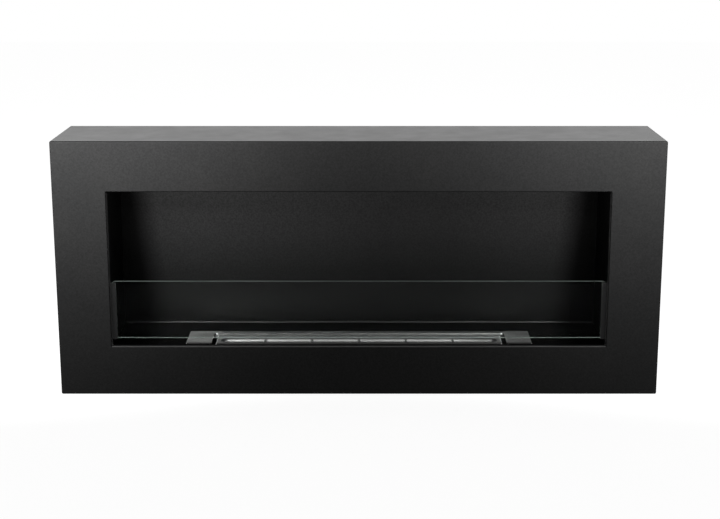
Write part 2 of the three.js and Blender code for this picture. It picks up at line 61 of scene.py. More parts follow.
# ---------------------------------------------------------------------------------------------
# Sizes that the frame's boxes don't give
# ---------------------------------------------------------------------------------------------
FOLD_STEPS = 10
CORNER_STEPS = 8
SLOT_STEPS = 20
ROLL_STEPS = 16
EDGE_STEPS = 4
WICK_EDGE_STEPS = 5
HOLE_POINTS = 24
SCREW_POINTS = 48
SMOOTH_ANGLE = math.radians(35)
FLAT_FACE_WEIGHT = 100
MERGE_DISTANCE = 1e-6
SHORTEST_EDGE = 1e-7
CUTTER_MARGIN = 1 * MM

CASE_SHEET = 1.5 * MM
CASE_FOLD_RADIUS = 2 * MM
CASE_CORNER_RADIUS = 2.5 * MM
CASE_LEAST_RADIUS = 1 * MM
REAR_FLANGE_WIDTH = 16 * MM
SIDE_BORDER = 79 * MM
TOP_BORDER = 75 * MM
BOTTOM_BORDER = 75 * MM
OPENING_FLANGE = 12 * MM
OPENING_FOLD_RADIUS = 2 * MM
OPENING_CORNER_RADIUS = 1 * MM

SCREW_HOLE_RADIUS = 2.15 * MM
SCREW_HOLE_REACH = 6 * MM
SCREW_HEAD_RADIUS = 3.7 * MM
SCREW_EDGE_WIDTH = 0.25 * MM
SCREW_EDGE_DEPTH = 0.12 * MM
SCREW_HEAD_DEPTH = 1.3 * MM
SCREW_SHANK_RADIUS = 1.95 * MM
SCREW_TIP_LENGTH = 2 * MM
SCREW_RECESS_REACH = 2.2 * MM
SCREW_RECESS_HALF_WIDTH = 0.9 * MM
SCREW_RECESS_DEPTH = 1.1 * MM
SCREW_RECESS_CORNER = 0.3 * MM
SCREW_RECESS_STEPS = 3
SCREW_RECESS_FOOT = 0.45

FIREBOX_SHEET = 1.5 * MM
FIREBOX_FOLD_RADIUS = 2.5 * MM
CUTOUT_FRONT_GAP = 2 * MM
CUTOUT_END_LAP = 4 * MM
CUTOUT_REAR_PLAY = 0.3 * MM
CUTOUT_CORNER_RADIUS = 3 * MM
CUTOUT_CUTTER_TOP = 4 * MM

GLASS_CORNER_RADIUS = 5 * MM
GLASS_EDGE_RADIUS = 0.5 * MM

BURNER_SHEET = 1.2 * MM
END_PLATE_LENGTH = 38 * MM
REAR_STRIP_WIDTH = 11.5 * MM
LIP_FOLD_RADIUS = 1.3 * MM
LIP_END_GAP = 2.4 * MM
LIP_REAR_GAP = 2 * MM
NOTCH_REACH = 20 * MM
PLATE_CORNER_RADIUS = 1 * MM
COVER_FOLD_RADIUS = 2 * MM
COVER_CORNER_RADIUS = 3 * MM
SLOT_SETBACK = 15.4 * MM
SLOT_WIDTH = 12 * MM
SLOT_END_MARGIN = 11 * MM
SLOT_ROLL_RADIUS = 5 * MM
SLOT_COLLAR = 8 * MM
TANK_FOLD_RADIUS = 3 * MM
TANK_CORNER_RADIUS = 3 * MM
WICK_CORNER_RADIUS = 3 * MM
WICK_EDGE_RADIUS = 3 * MM
WICK_CELL = 1.5 * MM
WICK_ROUGHNESS = 0.35 * MM


# ---------------------------------------------------------------------------------------------
# Outlines: boxes are (left, low, right, high), and outlines are lists of (x, y)
# ---------------------------------------------------------------------------------------------
def grown(box, distance):
    left, low, right, high = box
    return (left - distance, low - distance, right + distance, high + distance)


def arc(centre, radius, start, end, steps):
    """Points from one angle to another, in degrees, both ends included."""
    angles = [math.radians(start + (end - start) * step / steps) for step in range(steps + 1)]
    return [(centre[0] + radius * math.cos(a), centre[1] + radius * math.sin(a)) for a in angles]


def circle(centre, radius, points):
    return arc(centre, radius, 0, 360 - 360 / points, points - 1)


def rounded(box, radius, steps=CORNER_STEPS):
    """A rounded rectangle, anticlockwise from its lower right corner."""
    left, low, right, high = box
    corners = [
        ((right - radius, low + radius), -90),
        ((right - radius, high - radius), 0),
        ((left + radius, high - radius), 90),
        ((left + radius, low + radius), 180),
    ]
    return [p for centre, angle in corners for p in arc(centre, radius, angle, angle + 90, steps)]


def folded_face(path, offset, sheet, inside_radius):
    """One face of a folded sheet, set off to the right of its path, with every fold rounded."""
    points = []
    for index, here in enumerate(path):
        before = (here - path[index - 1]).normalized() if index else None
        after = (path[index + 1] - here).normalized() if index < len(path) - 1 else None
        if before is None or after is None:
            along = before or after
            points.append((here.x + along.y * offset, here.y - along.x * offset))
            continue
        turn = math.atan2(before.cross(after), before.dot(after))
        radius = inside_radius + (sheet if (turn > 0) == (offset > 0) else 0)
        mitre = offset / (1 + before.dot(after))
        corner = Vector((here.x + (before.y + after.y) * mitre, here.y - (before.x + after.x) * mitre))
        start = corner - before * radius * math.tan(abs(turn) / 2)
        side = math.copysign(1, turn)
        centre = (start.x - before.y * radius * side, start.y + before.x * radius * side)
        angle = math.degrees(math.atan2(start.y - centre[1], start.x - centre[0]))
        points += arc(centre, radius, angle, angle + math.degrees(turn), FOLD_STEPS)
    return points


def folded_section(path, sheet, inside_radius):
    """The closed section of a folded sheet: the path is one face, and the sheet lies to its right."""
    points = [Vector(point) for point in path]
    near = folded_face(points, 0, sheet, inside_radius)
    far = folded_face(points, sheet, sheet, inside_radius)
    return near + far[::-1]


# ---------------------------------------------------------------------------------------------
# Meshes
# ---------------------------------------------------------------------------------------------
def new_piece(name, vertices, faces):
    """A smooth-shaded closed mesh with its faces turned outwards."""
    mesh = bpy.data.meshes.new(name)
    mesh.from_pydata([tuple(v) for v in vertices], [], faces)
    piece = bpy.data.objects.new(name, mesh)
    bpy.context.scene.collection.objects.link(piece)
    tidy_mesh(piece)
    return piece


def tidy_mesh(piece):
    """Merges doubled points, turns the faces out and smooths the shading across shallow edges."""
    form = bmesh.new()
    form.from_mesh(piece.data)
    bmesh.ops.remove_doubles(form, verts=form.verts, dist=MERGE_DISTANCE)
    bmesh.ops.dissolve_degenerate(form, edges=form.edges, dist=SHORTEST_EDGE)
    bmesh.ops.recalc_face_normals(form, faces=form.faces)
    form.to_mesh(piece.data)
    form.free()
    piece.data.shade_smooth()
    piece.data.set_sharp_from_angle(angle=SMOOTH_ANGLE)


def skin(name, rings, is_loop):
    """Rings of equally many points, skinned one to the next. A loop closes, or else the ends are capped."""
    count = len(rings[0])
    spans = len(rings) if is_loop else len(rings) - 1
    faces = []
    for span in range(spans):
        here, following = span * count, (span + 1) % len(rings) * count
        for point in range(count):
            beside = (point + 1) % count
            faces.append((here + point, here + beside, following + beside, following + point))
    if not is_loop:
        faces.append(tuple(range(count))[::-1])
        faces.append(tuple(range((len(rings) - 1) * count, len(rings) * count)))
    return new_piece(name, [point for points in rings for point in points], faces)


def prism(name, outline, place, start, end):
    """An outline carried straight from start to end; place(u, v, w) gives a point of it in space."""
    return skin(name, [[place(u, v, w) for u, v in outline] for w in (start, end)], False)


def along_x(u, v, w):
    return (w, u, v)


def along_y(u, v, w):
    return (u, w, v)


def along_z(u, v, w):
    return (u, v, w)


def ring(box, radius, place, w, steps=CORNER_STEPS):
    """A rounded rectangle in space, at w along the place's axis."""
    return [place(u, v, w) for u, v in rounded(box, radius, steps)]


def apply_modifiers(piece):
    """Turns the piece's modifiers into its mesh."""
    bpy.context.view_layer.update()
    graph = bpy.context.evaluated_depsgraph_get()
    mesh = bpy.data.meshes.new_from_object(piece.evaluated_get(graph))
    piece.modifiers.clear()
    piece.data = mesh


def combine(piece, others, operation):
    """Cuts the other solids from the piece, or joins them to it, and deletes them."""
    for other in others:
        modifier = piece.modifiers.new("combine", "BOOLEAN")
        modifier.operation = operation
        modifier.solver = "EXACT"
        modifier.object = other
    apply_modifiers(piece)
    for other in others:
        bpy.data.objects.remove(other)
    tidy_mesh(piece)


def flatten_normals(piece):
    """Keeps large flat faces flat beside rounded folds."""
    modifier = piece.modifiers.new("flat faces", "WEIGHTED_NORMAL")
    modifier.keep_sharp = True
    modifier.weight = FLAT_FACE_WEIGHT
    apply_modifiers(piece)


# ---------------------------------------------------------------------------------------------
# Materials: scales are in cells a metre, and a span is where a mask starts and where it is full
# ---------------------------------------------------------------------------------------------
def grey(level, warmth=0.0):
    """A linear grey; warmth shifts it from blue to red."""
    return (level * (1 + warmth), level, level * (1 - warmth), 1)


BLACK = grey(0)
WHITE = grey(1)
FLAT_SPAN = (0.985, 0.998)
UNIT_SPAN = (0, 1)

# The mix node's data type, the numbers of its factor and two values, and that of its result
COLOUR_MIX = ("RGBA", (0, 6, 7), 2)
NUMBER_MIX = ("FLOAT", (0, 2, 3), 0)

# Powder coat
COAT_CLOUD_SCALE = 9
COAT_MOTTLE = 0.08
COAT_DARK_WARMTH = -0.01
COAT_LIGHT_WARMTH = 0.005
SPECK_SCALE = 420
SPECK_SHIFT = (1, 4, 2)
SPECK_LEVEL = 0.72
GLOSS_SCALE = 30
GLOSS_SHIFT = (3, 1, 2)
GRAIN_SCALE = 2600
GRAIN_SPAN = (0.45, 0.8)
GRAIN_SHARE = 0.35
GRAIN_LEVEL = 1.7
GRAIN_RELIEF = 0.003 * MM
PEEL_SCALE = 620
PEEL_RELIEF = 0.012 * MM

# Casing
CASE_LEVEL = 0.0312
CASE_GLOSS = (0.42, 0.5)
CASE_DIRECT_SHINE = 0.05
CASE_GRAZING_SHINE = 1.1
CASE_GRAZING_SPAN = (0.35, 0.75)
FOLD_SPAN = (0.8, 0.9)
FOLD_SHINE = 0.03
# Painted shade on the casing's folds
FOLD_DEPTH = 0.3
SILL_REACH = 4 * MM
SILL_EDGE_SPAN = (0.66, 0.8)
SILL_EDGE_SHINE = 2.1
SILL_TOP_START = 2.5 * MM
SILL_TOP_END = 7.5 * MM
SILL_TOP_SPAN = (0.97, 0.998)
SILL_TOP_SHINE = 0.02
# Painted shade on the sill's flat top
SILL_TOP_DEPTH = 0.15

# Firebox
FIREBOX_LEVEL = 0.0034
FIREBOX_GLOSS = (0.3, 0.36)
WALL_FOOT_SHINE = 0.42
WALL_WAIST_SHINE = 0.17
WALL_HEAD_SHINE = 0.5
WALL_WAIST_HEIGHT = 60 * MM
WALL_CHEST_HEIGHT = 85 * MM
WALL_PATCH_SCALE = 430
WALL_PATCH_RANGE = (0.75, 1.25)
FLOOR_SPAN = (0.9, 0.99)
FLOOR_SHINE = 0.01
FLOOR_FOLD_SHINE = 0.36
DULL_MIDDLE = 90 * MM
DULL_MIDDLE_SPAN = (50 * MM, 330 * MM)
DULL_MIDDLE_SHARE = 0.56
# Painted shade towards the firebox's ends
END_SHADE_SPAN = (287 * MM, 325 * MM)
END_SHADE_SHARE = 0.2
END_SHADE_LEAN = 0.115

# Burner steel
STEEL_LEVEL = 0.55
HEAT_MARK_SCALE = 55
HEAT_MARK_ROUGHNESS = 0.62
HEAT_MARK_STRETCH = (0.5, 1, 1)
HEAT_MARK_SPAN = (0.35, 0.65)
STEEL_DARK_WARMTH = 0.01
STEEL_LIGHT_WARMTH = 0.005
STROKE_SCALE = 2400
STROKE_STRETCH = (0.012, 1, 1)
STROKE_SHARE = 0.25
STROKE_LEVEL = 0.7
STROKE_RELIEF = 0.002 * MM
# Pale, matt ends of the burner's steel: painted highlights
GLINT_LEVEL = 0.8
GLINT_END_REACH = 2 * MM
COVER_MOTTLE = 0.08
COVER_GLOSS = (0.5, 0.58)
# Painted shade on the cover: its folds, most at the slot's ends, and its front edge
COVER_FOLD_DEPTH = 0.65
COVER_FRONT_DEPTH = 0.09
COVER_SHADE_REACH = 2.4 * MM
COVER_SHADE_DROP = 2 * MM
LEFT_RIM_SPAN = (-206 * MM, -190 * MM)
LEFT_RIM_DEPTH = 0.5
RIGHT_RIM_SPAN = (140 * MM, 195 * MM)
RIGHT_RIM_DEPTH = 0.45
PLATE_MOTTLE = 0.2
PLATE_GLOSS = (0.55, 0.75)
# Painted shade on the surround: towards the right, at its front, on its rear strip and lip's fold
PLATE_FRONT_DEPTH = 0.2
PLATE_SHADE_REACH = 3.8 * MM
RIGHT_PLATE_DEPTH = 0.6
STRIP_DEPTH = 0.64
LIP_FOLD_SPAN = (-50 * MM, 170 * MM)
LIP_FOLD_LEFT_DEPTH = 0.27
LIP_FOLD_RIGHT_DEPTH = 0.6
LIP_GLINT_REACH = 3 * MM

# Zinc and ceramic fibre
SPANGLE_SCALE = 140
SPANGLE_DARK = grey(0.36, -0.01)
SPANGLE_LIGHT = grey(0.46, -0.015)
SPANGLE_GLOSS = (0.36, 0.5)
PANEL_CLOUD_SCALE = 14
PANEL_CLOUD_SHARE = 0.4
PANEL_CLOUD = grey(0.33)
PANEL_RELIEF_SCALE = 900
PANEL_RELIEF = 0.006 * MM
SCREW_CLOUD_SCALE = 500
SCREW_DARK = grey(0.5, 0.01)
SCREW_LIGHT = grey(0.62, 0.03)
SCREW_GLOSS = (0.25, 0.4)
SCREW_RELIEF_SCALE = 4000
SCREW_RELIEF = 0.004 * MM
STRAND_SCALE = 900
STRAND_STRETCH = (0.25, 1, 1)
STRAND_RELIEF = 0.12 * MM
LUMP_SCALE = 160
LUMP_RELIEF = 0.3 * MM
FIBRE_ROUGHNESS = 0.95
FIBRE_SHINE = 0.2
FIBRE_DARK = grey(0.56, 0.04)
FIBRE_LIGHT = grey(0.78, 0.02)

# Glass
GLASS_INDEX = 1.06
GLASS_TINT = (0.97, 0.99, 0.98, 1)
GLASS_SHADOW = (0.9, 0.93, 0.91, 1)
GLASS_DEPTH_TINT = (0.55, 0.86, 0.72, 1)
GLASS_DENSITY = 3.0
SMEAR_SCALE = 18
SMEAR_STRETCH = (1, 1, 3)
SMEAR_SPAN = (0.5, 0.8)
SMEAR_ROUGHNESS = 0.03
WAVE_SCALE = 6
WAVE_RELIEF = 0.02 * MM
GRIT_SCALE = 5000
GRIT_GLOSS = (0.4, 0.6)
GROUND_EDGE_DARK = (0.26, 0.32, 0.29, 1)
GROUND_EDGE_LIGHT = (0.34, 0.4, 0.37, 1)
# Painted light on the ground edges over the burner
GROUND_EDGE_LIT = (0.7, 0.77, 0.74, 1)
GROUND_EDGE_COVER = 0.65
GROUND_EDGE_SPAN = (0.5, 0.8)
LIT_EDGE_SPAN = (212 * MM, 224 * MM)
LIT_EDGE_TOP = 0.3


class Finish:
    """A material under construction: one shader and the nodes that feed it."""

    def __init__(self, name, **constants):
        self.material = bpy.data.materials.new(name)
        self.material.use_nodes = True
        self.tree = self.material.node_tree
        self.shader = self.tree.nodes["Principled BSDF"]
        self.output = self.tree.nodes["Material Output"]
        self.place = self.add("ShaderNodeTexCoord").outputs["Object"]
        self.feed(self.shader, **constants)

    def add(self, kind, **settings):
        node = self.tree.nodes.new(kind)
        for name, value in settings.items():
            setattr(node, name, value)
        return node

    def plug(self, socket, value):
        """Links another node's output to an input, or sets the input to a value."""
        if isinstance(value, bpy.types.NodeSocket):
            self.tree.links.new(value, socket)
        else:
            socket.default_value = value

    def feed(self, node, **values):
        """Sets or links a node's inputs by name."""
        for name, value in values.items():
            self.plug(node.inputs[name.replace("_", " ")], value)
        return node

    def noise(self, scale, detail=2.0, roughness=0.5, stretch=(1, 1, 1), shift=(0, 0, 0)):
        """Noise with `scale` cells a metre, stretched by scaling the axes."""
        mapping = self.feed(self.add("ShaderNodeMapping"), Vector=self.place, Scale=stretch, Location=shift)
        texture = self.add("ShaderNodeTexNoise")
        self.feed(
            texture, Vector=mapping.outputs[0], Scale=scale, Detail=detail, Roughness=roughness)
        return texture.outputs["Fac"]

    def between(self, value, low, high, start=0.3, end=0.7):
        """The value's range from start to end, carried to low to high. Noise mostly fills 0.3 to 0.7."""
        spread = self.add("ShaderNodeMapRange")
        self.feed(spread, Value=value, From_Min=start, From_Max=end, To_Min=low, To_Max=high)
        return spread.outputs[0]

    def mixed(self, kind, *values):
        data_type, inputs, output = kind
        mix = self.add("ShaderNodeMix", data_type=data_type)
        for number, value in zip(inputs, values):
            self.plug(mix.inputs[number], value)
        return mix.outputs[output]

    def blend(self, factor, first, second):
        """A colour between two."""
        return self.mixed(COLOUR_MIX, factor, first, second)

    def mix(self, factor, first, second):
        """A number between two."""
        return self.mixed(NUMBER_MIX, factor, first, second)

    def mix_shaders(self, factor, first, second):
        mix = self.add("ShaderNodeMixShader")
        for socket, source in zip(mix.inputs, (factor, first.outputs[0], second.outputs[0])):
            self.plug(socket, source)
        return mix

    def math(self, operation, *values):
        node = self.add("ShaderNodeMath", operation=operation)
        for socket, value in zip(node.inputs, values):
            self.plug(socket, value)
        return node.outputs[0]

    def product(self, first, *others):
        for other in others:
            first = self.math("MULTIPLY", first, other)
        return first

    def axes(self, source):
        return self.feed(self.add("ShaderNodeSeparateXYZ"), Vector=source).outputs

    def facing(self):
        """How far the surface faces along X, Y and Z, without regard to sign."""
        normal = self.add("ShaderNodeTexCoord").outputs["Normal"]
        return [self.math("ABSOLUTE", axis) for axis in self.axes(normal)]

    def oblique(self, *facings):
        """1 where none of the given facings is full, 0 where one of them is."""
        largest = facings[0]
        for other in facings[1:]:
            largest = self.math("MAXIMUM", largest, other)
        return self.between(largest, 1, 0, *FLAT_SPAN)

    def bump(self, height, distance, after=None):
        """Relief `distance` deep, in metres, laid over an earlier relief."""
        relief = self.feed(self.add("ShaderNodeBump"), Height=height, Distance=distance)
        if after is not None:
            self.feed(relief, Normal=after)
        return relief.outputs[0]

    def done(self, **links):
        self.feed(self.shader, **links)
        return self.material


def powder_coat(finish, level, gloss, depth):
    """A grey coat with fine orange-peel relief, and faint differences in shade and gloss.

    Depth darkens it from place to place, as painted shade.
    """
    cloud = finish.noise(COAT_CLOUD_SCALE, detail=4)
    grain = finish.noise(GRAIN_SCALE, detail=1)
    colour = finish.blend(
        finish.between(cloud, 0, 1),
        grey(level * (1 - COAT_MOTTLE), COAT_DARK_WARMTH),
        grey(level * (1 + COAT_MOTTLE), COAT_LIGHT_WARMTH))
    light = finish.between(grain, 0, GRAIN_SHARE, *GRAIN_SPAN)
    speckled = finish.blend(light, colour, grey(level * GRAIN_LEVEL))
    speck = finish.between(finish.noise(SPECK_SCALE, detail=3, shift=SPECK_SHIFT), SPECK_LEVEL, 1)
    shaded = finish.blend(finish.product(speck, depth), BLACK, speckled)
    sheen = finish.between(finish.noise(GLOSS_SCALE, detail=5, shift=GLOSS_SHIFT), *gloss)
    peel = finish.bump(finish.noise(PEEL_SCALE, detail=1.5), PEEL_RELIEF)
    relief = finish.bump(grain, GRAIN_RELIEF, after=peel)
    return finish.done(Base_Color=shaded, Roughness=sheen, Normal=relief)


def sill_places(finish, facing_z):
    """Masks of the opening's sill: its front edge, and its flat top behind that."""
    low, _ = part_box("front_casing")
    _, back, height = finish.axes(finish.place)
    level = finish.math("COMPARE", height, low.z + BOTTOM_BORDER, SILL_REACH)
    edge = finish.product(level, finish.between(facing_z, 0, 1, *SILL_EDGE_SPAN))
    behind = finish.between(back, 0, 1, low.y + SILL_TOP_START, low.y + SILL_TOP_END)
    top = finish.product(level, finish.between(facing_z, 0, behind, *SILL_TOP_SPAN))
    return edge, top


def case_powder(name):
    """The casing's coat: it shines where it is seen along its flats; its folds are dull, with painted
    shade.

    The opening's sill is dull on top and darkened there as painted shade, and much glossier along its front
    edge.
    """
    finish = Finish(name)
    grazing = finish.add("ShaderNodeLayerWeight").outputs["Facing"]
    facing_x, facing_y, facing_z = finish.facing()
    fold = finish.product(
        finish.oblique(facing_x, facing_z), finish.between(facing_y, 1, 0, *FOLD_SPAN))
    edge, top = sill_places(finish, facing_z)
    shine = finish.between(grazing, CASE_DIRECT_SHINE, CASE_GRAZING_SHINE, *CASE_GRAZING_SPAN)
    shine = finish.mix(fold, shine, FOLD_SHINE)
    shine = finish.mix(edge, shine, SILL_EDGE_SHINE)
    shine = finish.mix(top, shine, SILL_TOP_SHINE)
    finish.feed(finish.shader, Specular_IOR_Level=shine)
    # Painted shade: the folds are darkened, but not the sill's front edge.
    depth = finish.mix(edge, finish.between(fold, 1, FOLD_DEPTH, *UNIT_SPAN), 1)
    # Painted shade: the sill's flat top is darkened further.
    depth = finish.mix(top, depth, SILL_TOP_DEPTH)
    return powder_coat(finish, CASE_LEVEL, CASE_GLOSS, depth)


def wall_shine(finish, across, height):
    """The back wall's gloss: least at its waist, and duller just right of its middle."""
    low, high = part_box("firebox_shell")
    foot = finish.between(
        height, WALL_FOOT_SHINE, WALL_WAIST_SHINE, low.z, low.z + WALL_WAIST_HEIGHT)
    head = finish.between(
        height, WALL_WAIST_SHINE, WALL_HEAD_SHINE, low.z + WALL_CHEST_HEIGHT, high.z)
    off_middle = finish.math("ABSOLUTE", finish.math("SUBTRACT", across, DULL_MIDDLE))
    dulled = finish.between(off_middle, DULL_MIDDLE_SHARE, 1, *DULL_MIDDLE_SPAN)
    return finish.product(finish.math("MAXIMUM", foot, head), dulled)


def firebox_powder(name):
    """The same coat inside the firebox, duller, and darkened towards its ends as painted shade.

    It is dullest on the floor, towards the ends and just right of the back wall's middle, and keeps
    its gloss in the folds between floor, wall and ceiling.
    """
    finish = Finish(name)
    facing_x, facing_y, facing_z = finish.facing()
    across, _, height = finish.axes(finish.place)
    wall = wall_shine(finish, across, height)
    shine = finish.mix(finish.between(facing_z, 0, 1, *FLOOR_SPAN), wall, FLOOR_SHINE)
    shine = finish.mix(finish.oblique(facing_x, facing_y, facing_z), shine, FLOOR_FOLD_SHINE)
    # Painted shade: colour and gloss fall off towards the ends, near the side walls, starting further out
    # higher up.
    leaning = finish.product(height, END_SHADE_LEAN)
    outward = finish.math("SUBTRACT", finish.math("ABSOLUTE", across), leaning)
    end_shading = finish.between(outward, 1, END_SHADE_SHARE, *END_SHADE_SPAN)
    patches = finish.between(finish.noise(WALL_PATCH_SCALE, detail=3), *WALL_PATCH_RANGE)
    finish.feed(finish.shader, Specular_IOR_Level=finish.product(shine, patches, end_shading))
    return powder_coat(finish, FIREBOX_LEVEL, FIREBOX_GLOSS, end_shading)


def brushed(finish, mottle, gloss, depth, glint):
    """Stainless steel brushed along X, with cloudy heat marks.

    Depth darkens it from place to place, as painted shade, and where it is given a painted highlight it is
    pale and matt.
    """
    cloud = finish.noise(
        HEAT_MARK_SCALE, detail=5, roughness=HEAT_MARK_ROUGHNESS, stretch=HEAT_MARK_STRETCH)
    strokes = finish.noise(STROKE_SCALE, detail=2, stretch=STROKE_STRETCH)
    marked = finish.blend(
        finish.between(cloud, 0, 1),
        grey(STEEL_LEVEL * (1 - mottle), STEEL_DARK_WARMTH),
        grey(STEEL_LEVEL * (1 + mottle), STEEL_LIGHT_WARMTH))
    colour = finish.blend(
        finish.between(strokes, 0, STROKE_SHARE), marked, grey(STEEL_LEVEL * STROKE_LEVEL))
    sheen = finish.between(cloud, *gloss, *HEAT_MARK_SPAN)
    relief = finish.bump(strokes, STROKE_RELIEF)
    shade = finish.blend(glint, finish.blend(depth, BLACK, colour), grey(GLINT_LEVEL))
    metal = finish.math("SUBTRACT", 1, glint)
    return finish.done(Base_Color=shade, Roughness=sheen, Normal=relief, Metallic=metal)


def cover_steel(name):
    """The burner's steel: darkened on its folds, most towards the slot's ends, and along its front, as
    painted shade.

    The cover's two ends are pale and matt: a painted highlight.
    """
    finish = Finish(name)
    low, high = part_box("burner_cover")
    across, out, height = finish.axes(finish.place)
    fold = finish.oblique(*finish.facing())
    # Painted shade along the front edge, and on the folds, deepest towards the slot's ends.
    front = finish.product(
        finish.between(out, 1, 0, low.y + COVER_SHADE_REACH / 2, low.y + COVER_SHADE_REACH),
        finish.between(height, 0, 1, low.z - COVER_SHADE_DROP, low.z))
    rim = finish.product(
        finish.between(across, LEFT_RIM_DEPTH, 1, *LEFT_RIM_SPAN),
        finish.between(across, 1, RIGHT_RIM_DEPTH, *RIGHT_RIM_SPAN))
    depth = finish.mix(fold, 1, finish.product(rim, COVER_FOLD_DEPTH))
    depth = finish.mix(front, depth, COVER_FRONT_DEPTH)
    # Painted highlight: the cover's two ends are pale and matt.
    outward = finish.math("ABSOLUTE", across)
    glint = finish.between(outward, 0, 1, high.x - GLINT_END_REACH, high.x - GLINT_END_REACH / 2)
    return brushed(finish, COVER_MOTTLE, COVER_GLOSS, depth, glint)


def surround_steel(name):
    """The surround's duller steel, darkened towards the right, at its front, on its rear strip and
    on the lip's fold, as painted shade.

    The lip's fold is pale and matt at its two ends: a painted highlight.
    """
    finish = Finish(name)
    low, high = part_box("burner_surround")
    across, out, _ = finish.axes(finish.place)
    fold = finish.oblique(*finish.facing())
    # Painted shade: darker towards the right, at the front edge, on the rear strip and on the lip's fold.
    sideways = finish.between(across, 1, RIGHT_PLATE_DEPTH, low.x, high.x)
    front = finish.between(
        out, PLATE_FRONT_DEPTH, 1, low.y + PLATE_SHADE_REACH / 2, low.y + PLATE_SHADE_REACH)
    outward = finish.math("ABSOLUTE", across)
    lip_end = high.x - END_PLATE_LENGTH - LIP_END_GAP
    strip = finish.between(outward, STRIP_DEPTH, 1, lip_end, lip_end + LIP_END_GAP)
    fold_depth = finish.between(across, LIP_FOLD_LEFT_DEPTH, LIP_FOLD_RIGHT_DEPTH, *LIP_FOLD_SPAN)
    depth = finish.mix(fold, finish.product(sideways, front, strip), fold_depth)
    # Painted highlight: the lip's fold is pale and matt at its two ends.
    glint = finish.product(
        fold, finish.between(outward, 0, 1, lip_end - LIP_GLINT_REACH, lip_end - GLINT_END_REACH))
    return brushed(finish, PLATE_MOTTLE, PLATE_GLOSS, depth, glint)


def galvanised(name):
    """Zinc-coated sheet with crystal spangle."""
    finish = Finish(name, Metallic=1.0)
    crystals = finish.feed(finish.add("ShaderNodeTexVoronoi"), Vector=finish.place, Scale=SPANGLE_SCALE)
    separate = finish.feed(finish.add("ShaderNodeSeparateColor"), Color=crystals.outputs["Color"])
    shade, sheen, _ = separate.outputs
    cloud = finish.noise(PANEL_CLOUD_SCALE, detail=4)
    base = finish.blend(finish.between(shade, 0, 1, *UNIT_SPAN), SPANGLE_DARK, SPANGLE_LIGHT)
    colour = finish.blend(finish.between(cloud, 0, PANEL_CLOUD_SHARE), base, PANEL_CLOUD)
    gloss = finish.between(sheen, *SPANGLE_GLOSS, *UNIT_SPAN)
    relief = finish.bump(finish.noise(PANEL_RELIEF_SCALE, detail=2), PANEL_RELIEF)
    return finish.done(Base_Color=colour, Roughness=gloss, Normal=relief)


def screw_zinc(name):
    finish = Finish(name, Metallic=1.0)
    cloud = finish.noise(SCREW_CLOUD_SCALE, detail=3)
    colour = finish.blend(finish.between(cloud, 0, 1), SCREW_DARK, SCREW_LIGHT)
    relief = finish.bump(finish.noise(SCREW_RELIEF_SCALE, detail=2), SCREW_RELIEF)
    return finish.done(Base_Color=colour, Roughness=finish.between(cloud, *SCREW_GLOSS), Normal=relief)


def fibre(name):
    """Pressed ceramic fibre: matt, with short strands and soft lumps."""
    finish = Finish(name, Roughness=FIBRE_ROUGHNESS, Specular_IOR_Level=FIBRE_SHINE)
    strands = finish.noise(STRAND_SCALE, detail=3, stretch=STRAND_STRETCH)
    lumps = finish.bump(finish.noise(LUMP_SCALE, detail=4), LUMP_RELIEF)
    colour = finish.blend(finish.between(strands, 0, 1), FIBRE_DARK, FIBRE_LIGHT)
    return finish.done(Base_Color=colour, Normal=finish.bump(strands, STRAND_RELIEF, after=lumps))


def ground_edge(finish):
    """The shader of the finely ground edges, painted paler over the burner as light from its steel."""
    grit = finish.noise(GRIT_SCALE, detail=2)
    low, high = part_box("glass_pane")
    across, _, height = finish.axes(finish.place)
    # Painted light: the edges are paler over the burner, most low down.
    lit = finish.product(
        finish.between(finish.math("ABSOLUTE", across), 1, 0, *LIT_EDGE_SPAN),
        finish.between(height, 1, LIT_EDGE_TOP, low.z, high.z))
    shade = finish.blend(lit, finish.blend(grit, GROUND_EDGE_DARK, GROUND_EDGE_LIGHT), GROUND_EDGE_LIT)
    return finish.feed(
        finish.add("ShaderNodeBsdfPrincipled"), Roughness=finish.between(grit, *GRIT_GLOSS),
        Base_Color=shade)


def clear_glass(name):
    """Tempered glass, slightly green in its depth, with faint smears. It casts a light shadow."""
    finish = Finish(name, Transmission_Weight=1.0, IOR=GLASS_INDEX, Base_Color=GLASS_TINT)
    smears = finish.noise(SMEAR_SCALE, detail=4, stretch=SMEAR_STRETCH)
    wave = finish.bump(finish.noise(WAVE_SCALE, detail=1), WAVE_RELIEF)
    finish.done(Roughness=finish.between(smears, 0.0, SMEAR_ROUGHNESS, *SMEAR_SPAN), Normal=wave)
    edge = finish.between(finish.facing()[1], GROUND_EDGE_COVER, 0, *GROUND_EDGE_SPAN)
    surface = finish.mix_shaders(edge, finish.shader, ground_edge(finish))
    shadow = finish.feed(finish.add("ShaderNodeBsdfTransparent"), Color=GLASS_SHADOW)
    is_shadow = finish.add("ShaderNodeLightPath").outputs["Is Shadow Ray"]
    surface = finish.mix_shaders(is_shadow, surface, shadow)
    depth = finish.feed(
        finish.add("ShaderNodeVolumeAbsorption"), Color=GLASS_DEPTH_TINT, Density=GLASS_DENSITY)
    finish.feed(finish.output, Surface=surface.outputs[0], Volume=depth.outputs[0])
    return finish.material


def dress(piece, material):
    """Gives an object its material through its own slots."""
    if not piece.material_slots:
        piece.data.materials.append(material)
    for slot in piece.material_slots:
        slot.material = material


# ---------------------------------------------------------------------------------------------
# Places from the frame
# ---------------------------------------------------------------------------------------------
def plan_box(node):
    """A node's box seen from above."""
    low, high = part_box(node)
    return (low.x, low.y, high.x, high.y)


def face_box(node):
    """A node's box seen from the front."""
    low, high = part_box(node)
    return (low.x, low.z, high.x, high.z)


